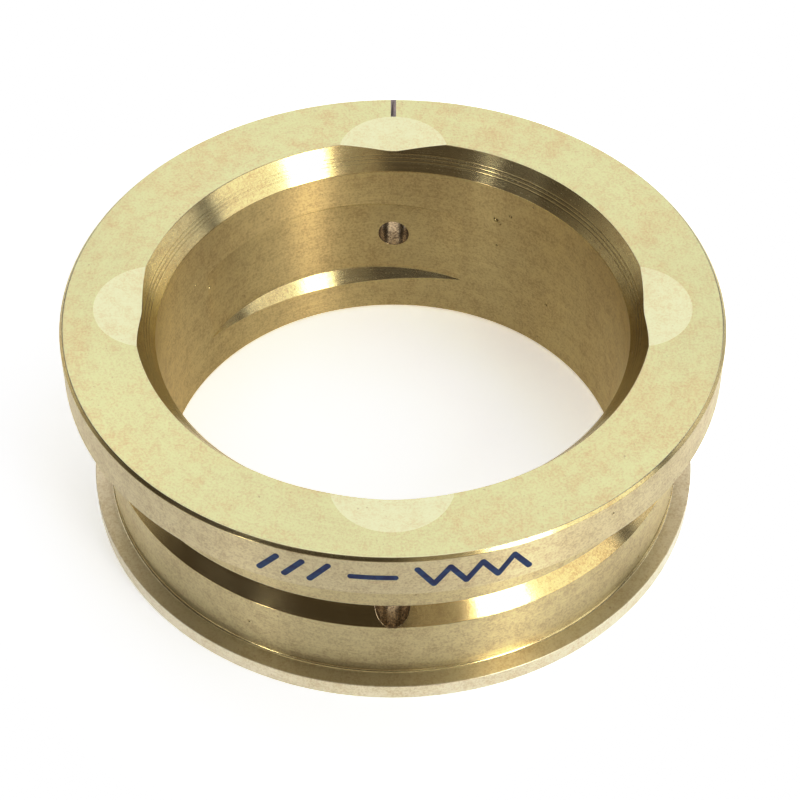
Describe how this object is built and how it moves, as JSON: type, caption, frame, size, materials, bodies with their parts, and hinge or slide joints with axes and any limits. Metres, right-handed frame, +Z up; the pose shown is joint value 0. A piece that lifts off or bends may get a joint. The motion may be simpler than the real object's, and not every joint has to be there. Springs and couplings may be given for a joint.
{
  "type": "flanged sleeve bushing",
  "caption": "Flanged bronze sleeve bushing with an outer oil groove, radial oil holes, bore oil pockets and scalloped thrust face.",
  "frame": {"origin": "centre of the bore, on the bottom face that the bushing stands on", "axes": "+Z up along the bore axis to the flange; the two oil holes lie along Y, with the marker strokes at the front on -Y"},
  "size_m": [0.16, 0.16, 0.055],
  "materials": {
    "bronze": "turned leaded bronze, satin, with fine tool lines and dull mottling",
    "grey_ink": "dried marking ink, matt",
    "blue_ink": "dried blue marker ink, slightly glossy"
  },
  "bodies": {
    "root": {"bushing": "bronze", "witness_tick": "grey_ink", "marker_strokes": "blue_ink"}
  },
  "joints": []
}
